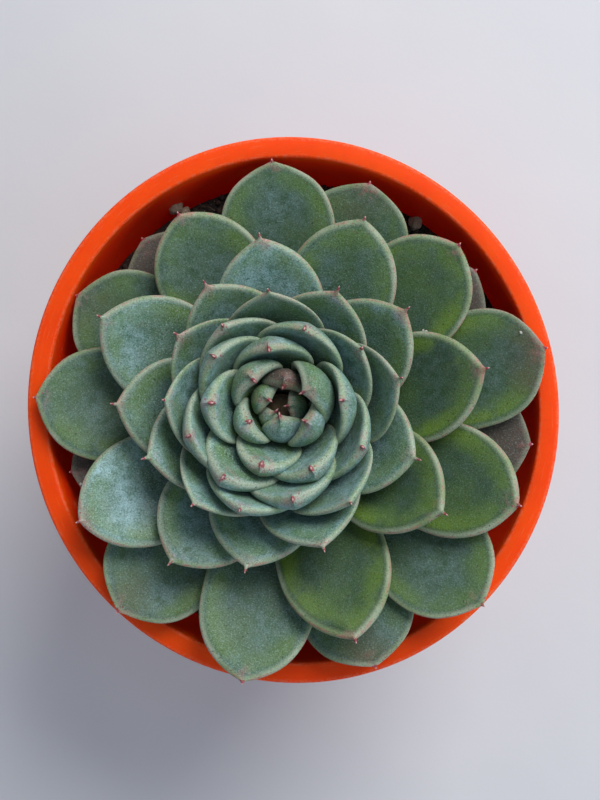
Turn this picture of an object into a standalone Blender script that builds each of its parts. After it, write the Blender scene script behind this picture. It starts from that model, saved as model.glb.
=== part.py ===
"""Potted succulent: a rosette of thick leaves on a short stem, in soil, in a round plastic flower pot.

Metres, +Z up. The origin is the middle of the pot's underside, where the pot stands.

Every leaf lies on a bowl. The bowls are nested in each other around the stem, from the upright bud to
the flat outermost leaves, and a leaf's age picks its bowl. A point of a leaf is its age, its way along
the bowl from stem to tip, and its angle round the stem, so leaves that keep apart in those three keep
apart in space.
"""

import math

import bmesh
import bpy
import numpy as np
from mathutils import Matrix, Vector, noise

NAME = "potted_succulent"
MM = 0.001
GAP = 0.3 * MM

# Pot: a thin tapering wall under a flat lip, with a skirt that hangs from the lip's edge, before the oval.
RIM_RADIUS = 65 * MM
POT_HEIGHT = 100 * MM
LIP_WIDTH = 5 * MM
LIP_THICKNESS = 2.6 * MM
SKIRT_HEIGHT = 17 * MM
SKIRT_THICKNESS = 1.6 * MM
SKIRT_TAPER = 0.6 * MM
WALL_THICKNESS = 2 * MM
FLOOR_THICKNESS = 3 * MM
INNER_FLOOR_RADIUS = 42.5 * MM
INNER_FLOOR_ROUND = 3 * MM
LIP_ROUND = 0.8 * MM
FOOT_ROUND = 2 * MM
OVAL = 0.016
OVAL_AZIMUTH = math.radians(105)
ROUND_STEPS = 48

# Drain holes in the floor, on a circle, clear of the middle.
DRAIN_HOLES = 6
DRAIN_RADIUS = 4 * MM
DRAIN_CIRCLE = 30 * MM

# Soil.
SOIL_HEIGHT = 86 * MM
SOIL_BUMP = 1.1 * MM
SOIL_EDGE_BUMP = 0.6
SOIL_CROWN = 0.5 * MM
SOIL_RINGS = [0.94, 0.84, 0.7, 0.54, 0.36]
COARSE_BUMPS = 60
FINE_BUMPS = 190

# Stem: radii from its buried end to its growing tip, at even steps of height.
STEM_BOTTOM = 64 * MM
STEM_TOP = 113.5 * MM
STEM_RADII = [5.0, 6.6, 7.3, 7.3, 6.9, 6.2, 5.0, 3.2]
STEM_FOOT = Vector((1.2 * MM, -3.9 * MM, SOIL_HEIGHT))
STEM_END = 2 * MM
STEM_STEPS = 16
STEM_SEGMENTS = 9

# The plant leans as a whole, and its stem wanders on the way up to the bud.
LEAN_AZIMUTH = math.radians(130)
TILT = math.radians(6)

# Leaves: leaf 1 is the youngest. Each next one grows a fixed turn further round.
LEAVES = 57
DIVERGENCE = 138.56
FIRST_AZIMUTH = 145.0
OLD_AGE = 0.95

# Bowls, from the youngest age to the oldest at even steps. Lengths are in millimetres, angles in degrees.
DRIFT_X = [-2.2, -2.4, -2.6, -2.1, -1.0, -0.4, 0.0]
DRIFT_Y = [2.2, 1.8, 1.2, 0.7, 0.3, 0.3, 0.1]
BASE_HEIGHT = [112.5, 110.8, 108.0, 104.5, 100.0, 95.0, 89.8]
TIP_RADIUS = [2.5, 12.4, 22.6, 30.2, 44.2, 61.0, 58.5]
TIP_HEIGHT = [119.5, 126.0, 123.5, 119.0, 113.5, 108.0, 99.5]
BASE_ANGLE = [40, 24, 14, 8, 8, 8, 5]
TIP_ANGLE = [135, 116, 86, 60, 38, 22, 14]
BASE_PULL = [0.5, 0.46, 0.48, 0.45, 0.4, 0.35, 0.33]
TIP_PULL = [0.5, 0.5, 0.45, 0.42, 0.38, 0.33, 0.33]
HALF_WIDTH = [6.5, 13.0, 14.2, 14.2, 14.4, 14.6, 14.4]
# Thickness and cupping are in steps of one leaf's age, which spaces the bowls.
THICKNESS = [2.3, 3.0, 3.3, 3.8, 4.4, 4.8, 4.7]
CUPPING = [0.3, 0.5, 0.8, 1.2, 1.5, 1.4, 1.2]
# How far out a leaf is widest, and the shape of its outline from there to its tip.
WIDEST = [0.55, 0.55, 0.58, 0.6, 0.66, 0.7, 0.7]
TIP_FULLNESS = [1.0, 1.0, 0.98, 0.95, 0.85, 0.8, 0.8]
SHOULDER = [1.7, 1.6, 1.7, 1.8, 2.2, 2.5, 2.5]

# Leaf mesh.
ALONG = [0.0, 0.25, 0.46, 0.64, 0.79, 0.9, 0.97]
AROUND = 10
EDGE_FULLNESS = 2.5
MOST_SPREAD = math.radians(58)
LEVEL = 0.35
BASE_NARROWING = 0.22
BASE_THINNING = 0.8
NARROW_BASE = 1.3
LEAF_STAND_OFF = 0.8 * MM

# Leaves that grew off the rule, by number: turned round the stem, in degrees.
TURNED = {1: -4, 2: 14, 3: 8, 4: -8, 5: 14, 7: -8, 8: 4, 9: -2, 10: 3, 11: 5, 12: -2, 13: -2, 14: -3}
TURNED |= {15: 6, 16: -4, 17: -4, 18: 3, 19: -6, 22: -4, 23: 2, 24: -2, 25: 6, 26: -5, 27: 3, 29: -5}
TURNED |= {32: -2, 33: 3, 35: 14, 36: 5, 38: 3, 39: 3, 41: 3, 42: 2, 43: -4, 44: -3, 46: 7, 47: -2}
TURNED |= {50: -5, 51: 4, 54: 5, 55: -13, 56: 10, 57: 7}
# Leaves longer or shorter than their bowl.
LENGTH = {6: 1.15, 7: 0.95, 8: 1.08, 9: 1.06, 10: 0.95, 11: 1.1, 12: 0.95, 14: 1.13, 16: 1.03, 17: 0.97}
LENGTH |= {19: 1.09, 20: 0.93, 21: 1.03, 22: 1.1, 23: 1.06, 24: 1.06, 25: 1.04, 26: 1.02, 27: 1.12}
LENGTH |= {30: 0.95, 32: 0.98, 33: 0.98, 35: 1.05, 37: 0.97, 38: 1.04, 39: 1.06, 40: 1.09, 41: 0.97}
LENGTH |= {42: 1.03, 43: 1.03, 44: 0.97, 45: 1.06, 46: 0.94, 50: 0.98, 52: 0.985, 55: 0.92, 56: 0.95}


def through(values, where):
    """The smooth curve through evenly spaced values, at 0 to 1 along it, and straight beyond its ends."""
    last = len(values) - 1
    place = where * last
    span = min(max(math.floor(place), 0), last - 1)
    part = place - span
    here, there = values[span], values[span + 1]
    if part < 0 or part > 1:
        return here + part * (there - here)
    before = values[span - 1] if span > 0 else 2 * here - there
    after = values[span + 2] if span + 2 <= last else 2 * there - here
    slope_here = (there - before) / 2
    slope_there = (after - here) / 2
    bend = 3 * (there - here) - 2 * slope_here - slope_there
    twist = slope_here + slope_there - 2 * (there - here)
    return here + part * (slope_here + part * (bend + part * twist))


def stem_radius(height):
    """The stem's radius at a height, in metres."""
    return through(STEM_RADII, (height - STEM_BOTTOM) / (STEM_TOP - STEM_BOTTOM)) * MM


def bowl(age, way):
    """Radius and height of the bowl of an age (0 bud, 1 oldest), at a way from stem (0) to tip (1)."""
    base_height = through(BASE_HEIGHT, age) * MM
    base = np.array((stem_radius(base_height) + LEAF_STAND_OFF, base_height))
    tip = np.array((through(TIP_RADIUS, age), through(TIP_HEIGHT, age))) * MM
    length = np.linalg.norm(tip - base)
    base_angle = math.radians(through(BASE_ANGLE, age))
    tip_angle = math.radians(through(TIP_ANGLE, age))
    base_pull = through(BASE_PULL, age) * length
    tip_pull = through(TIP_PULL, age) * length
    near = base + base_pull * np.array((math.cos(base_angle), math.sin(base_angle)))
    far = tip - tip_pull * np.array((math.cos(tip_angle), math.sin(tip_angle)))
    back = 1 - way
    return back**3 * base + 3 * back**2 * way * near + 3 * back * way**2 * far + way**3 * tip


def bowl_middle(age):
    """Where the stem and the bowl's axis stand at an age, over the stem's foot."""
    return Vector((through(DRIFT_X, age), through(DRIFT_Y, age), 0)) * MM


def tilt():
    """The tilt of the plant about the stem's foot."""
    axis = Vector((-math.sin(LEAN_AZIMUTH), math.cos(LEAN_AZIMUTH), 0))
    return Matrix.Rotation(TILT, 4, axis)


def plant_point(age, way, azimuth):
    """A point of the rosette in space."""
    radius, height = bowl(age, way)
    upright = bowl_middle(age) + Vector(
        (radius * math.cos(azimuth), radius * math.sin(azimuth), height - SOIL_HEIGHT)
    )
    return STEM_FOOT + tilt() @ upright


def width_share(age, way):
    """A leaf's width at a way from its base to its tip, as a share of its greatest width."""
    widest = through(WIDEST, age)
    if way < widest:
        rise = math.sin(math.pi / 2 * way / widest) ** NARROW_BASE
        return BASE_NARROWING + (1 - BASE_NARROWING) * rise
    beyond = (way - widest) / (1 - widest)
    return (1 - beyond ** through(SHOULDER, age)) ** through(TIP_FULLNESS, age)


def half_thickness(age, way):
    """Half the thickness of a leaf, in steps of one leaf's age, rounded off towards the tip."""
    body = BASE_THINNING + (1 - BASE_THINNING) * math.sin(math.pi * min(way, 0.5))
    end = width_share(age, way) if way > through(WIDEST, age) else 1
    return through(THICKNESS, age) / 2 * body * math.sqrt(1 - (1 - end) ** 3)


def leaf_rings(number):
    """The cross-sections of a leaf, from its base to its tip."""
    length = LENGTH.get(number, 1.0)
    azimuth = math.radians(FIRST_AZIMUTH + DIVERGENCE * number + TURNED.get(number, 0))
    age = number / LEAVES
    rings = []
    for way in ALONG:
        reach = way * length
        radius = bowl(age, reach)[0]
        share = width_share(age, way)
        spread = MOST_SPREAD * math.tanh(through(HALF_WIDTH, age) * MM * share / (radius * MOST_SPREAD))
        thick = half_thickness(age, way)
        ring = []
        for step in range(AROUND):
            angle = 2 * math.pi * step / AROUND
            across = rounded(math.cos(angle))
            through_leaf = rounded(math.sin(angle))
            depth = through_leaf * thick + through(CUPPING, age) * share**2 * (LEVEL - across**2)
            ring.append(plant_point(age + depth / LEAVES, reach, azimuth + across * spread))
        rings.append(ring)
    return rings, plant_point(age, 0, azimuth), plant_point(age, length, azimuth)


def rounded(value):
    """Turns a circle's sine or cosine into that of a fuller rounded outline."""
    return math.copysign(abs(value) ** (2 / EDGE_FULLNESS), value)


def skin(rings, first, last):
    """A closed mesh over rings of points, from a point that closes the first ring to one for the last."""
    mesh = bmesh.new()
    rows = [[mesh.verts.new(point) for point in ring] for ring in rings]
    for lower, upper in zip(rows, rows[1:]):
        for a, b, c, d in zip(lower, lower[1:] + lower[:1], upper[1:] + upper[:1], upper):
            mesh.faces.new((a, b, c, d))
    for row, end in ((rows[0], first), (rows[-1], last)):
        point = mesh.verts.new(end)
        for a, b in zip(row, row[1:] + row[:1]):
            mesh.faces.new((a, b, point))
    bmesh.ops.recalc_face_normals(mesh, faces=mesh.faces)
    return mesh


def new_object(name, mesh, collection, material):
    """An object in a collection, from a bmesh."""
    data = bpy.data.meshes.new(name)
    mesh.to_mesh(data)
    mesh.free()
    obj = bpy.data.objects.new(name, data)
    collection.objects.link(obj)
    if material is not None:
        data.materials.append(material)
    return obj


def new_collection(name):
    collection = bpy.data.collections.new(name)
    bpy.context.scene.collection.children.link(collection)
    return collection


def new_material(name, color, roughness):
    material = bpy.data.materials.new(name)
    material.use_nodes = True
    shader = material.node_tree.nodes["Principled BSDF"]
    shader.inputs["Base Color"].default_value = (*color, 1)
    shader.inputs["Roughness"].default_value = roughness
    shader.inputs["Metallic"].default_value = 0
    material.diffuse_color = (*color, 1)
    return material


def turned(name, profile, collection, material):
    """A turned solid from its profile of (radius, height) points, whose outer side runs down."""
    mesh = bmesh.new()
    points = [mesh.verts.new((radius, 0, height)) for radius, height in profile]
    for a, b in zip(points, points[1:]):
        mesh.edges.new((a, b))
    obj = new_object(name, mesh, collection, material)
    screw = obj.modifiers.new("Turn", "SCREW")
    screw.axis = "Z"
    screw.steps = screw.render_steps = ROUND_STEPS
    screw.use_merge_vertices = True
    screw.merge_threshold = 0.00001
    screw.use_smooth_shade = True
    return obj


def arc(centre, radius, start, end, points=4):
    """Points on an arc of the profile, angles in degrees."""
    angles = [math.radians(start + (end - start) * i / (points - 1)) for i in range(points)]
    return [(centre[0] + radius * math.cos(a), centre[1] + radius * math.sin(a)) for a in angles]


def inner_radius(height):
    """The radius of the pot's inner wall at a height."""
    top = RIM_RADIUS - LIP_WIDTH
    share = (height - FLOOR_THICKNESS) / (POT_HEIGHT - FLOOR_THICKNESS)
    return INNER_FLOOR_RADIUS + (top - INNER_FLOOR_RADIUS) * share


def pot_profile():
    """From the middle of the floor, up the inside, over the lip, round the skirt and down the outside."""
    skirt_bottom = POT_HEIGHT - SKIRT_HEIGHT
    groove_top = POT_HEIGHT - LIP_THICKNESS
    skirt_radius = RIM_RADIUS - SKIRT_TAPER
    inner_lip = (RIM_RADIUS - LIP_WIDTH + LIP_ROUND, POT_HEIGHT - LIP_ROUND)
    outer_lip = (RIM_RADIUS - LIP_ROUND, POT_HEIGHT - LIP_ROUND)
    foot_radius = inner_radius(FOOT_ROUND) + WALL_THICKNESS - FOOT_ROUND
    return [
        (0, FLOOR_THICKNESS),
        (INNER_FLOOR_RADIUS - INNER_FLOOR_ROUND, FLOOR_THICKNESS),
        (inner_radius(FLOOR_THICKNESS + INNER_FLOOR_ROUND), FLOOR_THICKNESS + INNER_FLOOR_ROUND),
        *arc(inner_lip, LIP_ROUND, 180, 90),
        *arc(outer_lip, LIP_ROUND, 90, 0),
        (skirt_radius, skirt_bottom + SKIRT_TAPER),
        (skirt_radius - SKIRT_TAPER, skirt_bottom),
        (skirt_radius - SKIRT_THICKNESS, skirt_bottom),
        (RIM_RADIUS - SKIRT_THICKNESS, groove_top),
        (inner_radius(groove_top) + WALL_THICKNESS, groove_top),
        *arc((foot_radius, FOOT_ROUND), FOOT_ROUND, 0, -90),
        (0, 0),
    ]


def make_oval(obj):
    """Stretches a round piece of the pot along its long axis and narrows it across."""
    obj.rotation_euler.z = OVAL_AZIMUTH
    obj.scale = (1 + OVAL, 1 - OVAL, 1)


def make_pot(parts, cutters, material):
    pot = turned("pot", pot_profile(), parts, material)
    make_oval(pot)
    for index in range(DRAIN_HOLES):
        angle = 2 * math.pi * (index + 0.5) / DRAIN_HOLES
        mesh = bmesh.new()
        bmesh.ops.create_cone(
            mesh,
            cap_ends=True,
            segments=16,
            radius1=DRAIN_RADIUS,
            radius2=DRAIN_RADIUS,
            depth=4 * FLOOR_THICKNESS,
        )
        hole = new_object(f"drain_cutter_{index + 1}", mesh, cutters, None)
        hole.location = (DRAIN_CIRCLE * math.cos(angle), DRAIN_CIRCLE * math.sin(angle), 0)
        cut_with(pot, hole)


def cut_with(obj, cutter):
    """A Boolean cut, and the cutter shown as a wire helper only."""
    boolean = obj.modifiers.new("Cut", "BOOLEAN")
    boolean.operation = "DIFFERENCE"
    boolean.object = cutter
    cutter.hide_render = True
    cutter.display_type = "WIRE"


def soil_bump(x, y):
    """How far the soil stands above or below its level at a place."""
    coarse = noise.noise(Vector((x, y, 0)) * COARSE_BUMPS)
    fine = noise.noise(Vector((x, y, 9 * MM)) * FINE_BUMPS)
    return SOIL_BUMP * (coarse + 0.5 * fine)


def soil_rings():
    """Rings from the soil's bottom up its side and in over its top."""
    bottom = FLOOR_THICKNESS + GAP
    foot = inner_radius(FLOOR_THICKNESS + INNER_FLOOR_ROUND) - 2 * GAP
    side = inner_radius(SOIL_HEIGHT) - GAP
    levels = [(INNER_FLOOR_RADIUS - INNER_FLOOR_ROUND - GAP, bottom, 0)]
    levels += [(foot, bottom + INNER_FLOOR_ROUND, 0), (side, SOIL_HEIGHT, SOIL_EDGE_BUMP)]
    levels += [(side * share, SOIL_HEIGHT + SOIL_CROWN, 1) for share in SOIL_RINGS]
    rings = []
    for radius, height, bumpy in levels:
        ring = []
        for step in range(ROUND_STEPS):
            angle = 2 * math.pi * step / ROUND_STEPS
            x, y = radius * math.cos(angle), radius * math.sin(angle)
            ring.append(Vector((x, y, height + bumpy * soil_bump(x, y))))
        rings.append(ring)
    top = SOIL_HEIGHT + SOIL_CROWN + soil_bump(0, 0)
    return rings, Vector((0, 0, bottom)), Vector((0, 0, top))


def stem_rings(grow):
    """Rings up the stem from its buried end to its growing tip, made thicker by some amount all round."""
    levels = [(1.0, STEM_BOTTOM - grow), (1.0, (STEM_BOTTOM + SOIL_HEIGHT) / 2)]
    ages = [1 - step / STEM_SEGMENTS for step in range(STEM_SEGMENTS + 1)]
    levels += [(age, through(BASE_HEIGHT, age) * MM) for age in ages]
    rings = []
    for age, height in levels:
        ring = []
        for step in range(STEM_STEPS):
            angle = 2 * math.pi * step / STEM_STEPS
            radius = stem_radius(height) + grow
            out = Vector((radius * math.cos(angle), radius * math.sin(angle), height - SOIL_HEIGHT))
            ring.append(STEM_FOOT + tilt() @ (bowl_middle(age) + out))
        rings.append(ring)
    low = bowl_middle(1) + Vector((0, 0, STEM_BOTTOM - STEM_END - grow - SOIL_HEIGHT))
    high = bowl_middle(0) + Vector((0, 0, STEM_TOP + grow - SOIL_HEIGHT))
    return rings, STEM_FOOT + tilt() @ low, STEM_FOOT + tilt() @ high


def make_leaves(parts, materials):
    for number in range(1, LEAVES + 1):
        mesh = skin(*leaf_rings(number))
        for face in mesh.faces:
            face.smooth = True
        age = number / LEAVES
        new_object(f"leaf_{number:02d}", mesh, parts, materials["old" if age > OLD_AGE else "green"])


def main():
    for obj in list(bpy.data.objects):
        bpy.data.objects.remove(obj)
    parts = new_collection(NAME)
    cutters = new_collection(NAME + "_cutters")
    orange = new_material("pot_orange", (0.80, 0.10, 0.004), 0.42)
    dark = new_material("soil_dark", (0.018, 0.013, 0.010), 0.95)
    woody = new_material("stem_brown", (0.20, 0.14, 0.08), 0.8)
    leaf_materials = {
        "green": new_material("leaf_green", (0.20, 0.33, 0.25), 0.5),
        "old": new_material("leaf_old", (0.14, 0.13, 0.09), 0.6),
    }
    make_pot(parts, cutters, orange)
    soil = new_object("soil", skin(*soil_rings()), parts, dark)
    make_oval(soil)
    new_object("stem", skin(*stem_rings(0)), parts, woody)
    cut_with(soil, new_object("stem_cutter", skin(*stem_rings(GAP)), cutters, None))
    make_leaves(parts, leaf_materials)


main()
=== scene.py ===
import math

import bmesh
import bpy
import numpy as np
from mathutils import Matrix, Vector, noise
from mathutils.bvhtree import BVHTree


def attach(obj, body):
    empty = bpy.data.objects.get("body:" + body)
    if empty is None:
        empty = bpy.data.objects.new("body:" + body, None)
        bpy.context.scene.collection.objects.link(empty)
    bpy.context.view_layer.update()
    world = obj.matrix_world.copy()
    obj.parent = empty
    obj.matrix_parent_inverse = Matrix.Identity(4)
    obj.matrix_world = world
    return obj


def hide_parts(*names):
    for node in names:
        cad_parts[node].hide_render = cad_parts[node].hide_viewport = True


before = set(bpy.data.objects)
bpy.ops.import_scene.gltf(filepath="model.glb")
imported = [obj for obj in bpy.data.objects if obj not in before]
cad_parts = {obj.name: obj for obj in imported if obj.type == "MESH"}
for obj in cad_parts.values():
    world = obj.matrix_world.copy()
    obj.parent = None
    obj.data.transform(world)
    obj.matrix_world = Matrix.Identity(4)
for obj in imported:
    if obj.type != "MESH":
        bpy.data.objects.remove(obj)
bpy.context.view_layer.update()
MM = 0.001

# ---------------------------------------------------------------- pot, soil and stem, as in the CAD part
RIM_RADIUS = 65 * MM
POT_HEIGHT = 100 * MM
LIP_WIDTH = 5 * MM
LIP_THICKNESS = 2.6 * MM
SKIRT_HEIGHT = 17 * MM
SKIRT_THICKNESS = 1.6 * MM
SKIRT_TAPER = 0.6 * MM
WALL_THICKNESS = 2 * MM
FLOOR_THICKNESS = 3 * MM
INNER_FLOOR_RADIUS = 42.5 * MM
INNER_FLOOR_ROUND = 3 * MM
LIP_ROUND = 0.8 * MM
FOOT_ROUND = 2 * MM
OVAL = 0.016
OVAL_AZIMUTH = math.radians(105)
# The CAD pot is a polygon of 48 sides whose box this finer one must not leave.
OVAL_FIT = 0.9995
POT_STEPS = 192
SKIRT_EDGE_ROUND = 0.5 * MM
DRAIN_HOLES = 6
DRAIN_RADIUS = 4 * MM
DRAIN_CIRCLE = 30 * MM
SOIL_HEIGHT = 86 * MM
SOIL_FOOT_RADIUS = 39 * MM
SOIL_BOTTOM = 3.3 * MM
SOIL_GAP = 0.3 * MM
SOIL_AROUND = 160
SOIL_TOP_RINGS = 46
SOIL_EDGE_DROP = 0.7 * MM
FIBRES = 170
FIBRE_RADIUS = 0.14 * MM

STEM_BOTTOM = 64 * MM
STEM_TOP = 113.5 * MM
STEM_RADII = [5.0, 6.6, 7.3, 7.3, 6.9, 6.2, 5.0, 3.2]
STEM_FOOT = np.array((1.2 * MM, -3.9 * MM, SOIL_HEIGHT))
LEAN_AZIMUTH = math.radians(130)
TILT = math.radians(6)

# ---------------------------------------------------------------- the rosette, nearly as in the CAD part
# Every list of seven runs evenly from the bud to the oldest leaves. Lengths are in millimetres, angles
# in degrees.
LEAVES = 57
DIVERGENCE = 138.56
FIRST_AZIMUTH = 145.0
DRIFT_X = [-2.2, -2.4, -2.6, -2.1, -1.0, -0.4, 0.0]
DRIFT_Y = [2.2, 1.8, 1.2, 0.7, 0.3, 0.3, 0.1]
BASE_HEIGHT = [112.5, 110.8, 108.0, 104.5, 100.0, 95.0, 89.8]
TIP_RADIUS = [2.5, 12.4, 22.6, 30.2, 44.2, 61.0, 58.5]
TIP_HEIGHT = [119.5, 126.0, 123.5, 119.0, 113.5, 108.0, 99.5]
BASE_ANGLE = [40, 24, 14, 8, 8, 8, 5]
TIP_ANGLE = [135, 116, 86, 60, 38, 22, 14]
BASE_PULL = [0.5, 0.46, 0.48, 0.45, 0.4, 0.35, 0.33]
TIP_PULL = [0.5, 0.5, 0.45, 0.42, 0.38, 0.33, 0.33]
# Leaves 0, -1 and -2 are in the heart of the bud, and leaves 59 and 60 lie under the rosette. They have
# no CAD solid. Some leaves of the bud are turned, shortened and leaned a little away from theirs.
# A leaf is turned by so many degrees from its place in the spiral, and its length is a share of the usual.
TURNED = {1: -4, 2: 14, 3: 8, 4: -8, 5: 14, 7: -8, 8: 4, 9: -12, 10: 6, 11: 5, 12: -2, 13: -6, 14: -3}
TURNED |= {15: 6, 16: -4, 17: -4, 18: 3, 19: -6, 22: -4, 23: 2, 24: -2, 25: 6, 26: -5, 27: 3, 29: -5}
TURNED |= {32: -2, 33: 3, 35: 14, 36: 5, 38: 3, 39: 3, 41: 3, 42: 2, 43: -4, 44: -3, 46: 7, 47: -2}
TURNED |= {50: -5, 51: 4, 54: 5, 55: -13, 56: 10, 57: 7, 60: -20}
LENGTH = {-2: 0.7, -1: 0.78, 0: 0.9, 1: 0.95, 2: 0.93, 6: 1.02, 7: 0.95, 10: 0.95, 11: 1.02, 12: 0.95}
LENGTH |= {14: 1.07, 16: 1.03, 17: 0.97, 19: 1.09, 20: 0.93, 21: 1.03, 22: 1.1, 23: 1.06, 24: 1.06}
LENGTH |= {25: 1.04, 26: 1.02, 27: 1.12, 30: 0.95, 32: 0.98, 33: 0.98, 35: 1.05, 37: 0.97, 38: 1.04}
LENGTH |= {39: 1.06, 40: 1.09, 41: 0.97, 42: 1.03, 43: 1.03, 44: 0.97, 45: 1.06, 46: 0.94, 50: 0.98}
LENGTH |= {52: 0.985, 55: 0.92, 56: 0.95, 59: 0.98}
HEART_LEAVES = (0, -1, -2)
LOW_LEAVES = (59, 60)
# How far the tips of some bud leaves lean out from their bowl (in if below 0), in millimetres.
LEANING = {-2: -1.0, -1: -1.0, 0: -0.5, 1: -1.6, 2: -0.4, 3: 1.6, 4: 0.4, 6: 4.7, 7: -3.4, 8: 3.3}
LEANING |= {9: 4.0, 10: -0.6, 11: 5.3, 12: -0.8, 13: 1.2, 14: 3.5}
LEAN_DROP = -0.25
LEAN_OUT_POWER = 2.2
LEAN_IN_POWER = 4

# ---------------------------------------------------------------- leaf forms, from the bud to the oldest
# Thickness and cupping are in ages, because a leaf is cut out of the bowls of neighbouring ages.
HALF_WIDTH = [7.5, 13.4, 14.4, 14.4, 14.6, 14.7, 14.4]
THICKNESS = [3.0, 4.2, 4.4, 4.6, 4.8, 4.8, 4.7]
CUPPING = [0.3, 0.5, 0.8, 1.2, 1.5, 1.4, 1.2]
WIDEST = [0.55, 0.55, 0.58, 0.6, 0.64, 0.68, 0.68]
TIP_FULLNESS = [1.0, 1.0, 0.92, 0.84, 0.74, 0.68, 0.70]
SHOULDER = [1.7, 1.6, 1.8, 2.1, 2.5, 2.95, 2.9]
KEEL = [0.6, 0.6, 0.45, 0.3, 0.2, 0.1, 0.1]
EDGE_FULLNESS = [2.1, 2.1, 2.1, 2.2, 2.3, 2.4, 2.4]
THINNING = [0.0, 0.0, 0.15, 0.4, 0.55, 0.6, 0.4]
TAPER = [0.25, 0.28, 0.4, 0.5, 0.5, 0.5, 0.5]
CURL = [0, 0, -0.4, -0.6, -0.3, 0.0, 0.0]
CURL_START = 0.86
PINCH = [0.1, 0.12, 0.22, 0.32, 0.3, 0.25, 0.25]
PINCH_START = 0.72
RIPPLE = 0.22
SPINE_LENGTH = [0.4, 0.5, 0.8, 1.2, 1.1, 0.9, 0.7]
SPINE_RADIUS = 0.5 * MM
SPINE_START = 0.8
SPINE_FLARE = 1.6
MOST_SPREAD = math.radians(58)
LEVEL = 0.35
BASE_NARROWING = 0.22
BASE_THINNING = 0.8
NARROW_BASE = 1.3
LEAF_STAND_OFF = 0.8 * MM
ROWS = 40
AROUND = 36
ROW_CROWDING = 1.5
SHORT_OF_TIP = 0.9995
FIRST_OUTLINE_ROW = 4


# ---------------------------------------------------------------- leaf shapes
def through(values, where):
    """The smooth curve through evenly spaced values, at 0 to 1 along it, and straight beyond its ends."""
    values = np.asarray(values, float)
    last = len(values) - 1
    place = np.asarray(where, float) * last
    span = np.clip(np.floor(place), 0, last - 1).astype(int)
    part = place - span
    here, there = values[span], values[span + 1]
    before = np.where(span > 0, values[np.maximum(span - 1, 0)], 2 * here - there)
    after = np.where(span + 2 <= last, values[np.minimum(span + 2, last)], 2 * there - here)
    slope_here = (there - before) / 2
    slope_there = (after - here) / 2
    bend = 3 * (there - here) - 2 * slope_here - slope_there
    twist = slope_here + slope_there - 2 * (there - here)
    curved = here + part * (slope_here + part * (bend + part * twist))
    return np.where((part < 0) | (part > 1), here + part * (there - here), curved)


def stem_radius(height):
    return through(STEM_RADII, (height - STEM_BOTTOM) / (STEM_TOP - STEM_BOTTOM)) * MM


def bowl(age, way):
    """Radius and height of the bowl of an age (0 bud, 1 oldest), at a way from stem (0) to tip (1)."""
    age = age + 0.0 * np.asarray(way)
    base_height = through(BASE_HEIGHT, age) * MM
    base = np.array((stem_radius(base_height) + LEAF_STAND_OFF, base_height))
    tip = np.array((through(TIP_RADIUS, age), through(TIP_HEIGHT, age))) * MM
    length = np.linalg.norm(tip - base, axis=0)
    base_angle = np.radians(through(BASE_ANGLE, age))
    tip_angle = np.radians(through(TIP_ANGLE, age))
    near = base + through(BASE_PULL, age) * length * np.array((np.cos(base_angle), np.sin(base_angle)))
    far = tip - through(TIP_PULL, age) * length * np.array((np.cos(tip_angle), np.sin(tip_angle)))
    back = 1 - way
    return back**3 * base + 3 * back**2 * way * near + 3 * back * way**2 * far + way**3 * tip


def plant_point(age, way, azimuth):
    """Points of the rosette in space, as an array whose last axis is x, y, z."""
    radius, height = bowl(age, way)
    x = radius * np.cos(azimuth) + through(DRIFT_X, age) * MM
    y = radius * np.sin(azimuth) + through(DRIFT_Y, age) * MM
    z = height - SOIL_HEIGHT
    lean_x, lean_y = math.cos(LEAN_AZIMUTH), math.sin(LEAN_AZIMUTH)
    along = x * lean_x + y * lean_y
    moved = along * math.cos(TILT) + z * math.sin(TILT)
    raised = z * math.cos(TILT) - along * math.sin(TILT)
    return STEM_FOOT + np.stack((x + (moved - along) * lean_x, y + (moved - along) * lean_y, raised), -1)


def width_share(age, way):
    """A leaf's width at a way from its base to its tip, as a share of its greatest width."""
    widest = through(WIDEST, age)
    rise = np.sin(math.pi / 2 * np.clip(way / widest, 0, 1)) ** NARROW_BASE
    beyond = np.clip((way - widest) / (1 - widest), 0, 1)
    fall = (1 - beyond ** through(SHOULDER, age)) ** through(TIP_FULLNESS, age)
    pinched = 1 - through(PINCH, age) * np.clip((beyond - PINCH_START) / (1 - PINCH_START), 0, 1) ** 2
    return np.where(way < widest, BASE_NARROWING + (1 - BASE_NARROWING) * rise, fall * pinched)


def rounded(value, fullness):
    return np.copysign(np.abs(value) ** (2 / fullness), value)


def leaf_rows(spine):
    """Ways along a leaf, crowded towards the end of its spine, whose length is a share of the limb's."""
    steps = np.linspace(0, 1, ROWS)
    return (1 + spine) * (1 - (1 - steps) ** ROW_CROWDING) * SHORT_OF_TIP


def leaf_shares(age, way, spine, half_width):
    """Half widths along a leaf as a share of the greatest, never thinner than the spine at the tip."""
    narrowing = np.sqrt(np.clip((1 + spine - way) / (SPINE_FLARE * spine), 0, 1))
    spine_share = SPINE_RADIUS / half_width * narrowing
    return np.maximum(width_share(age, way), np.where(way > SPINE_START, spine_share, 0))


def tip_curl(age, way):
    return through(CURL, age) * np.clip((way - CURL_START) / (1 - CURL_START), 0, 2) ** 2


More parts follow.
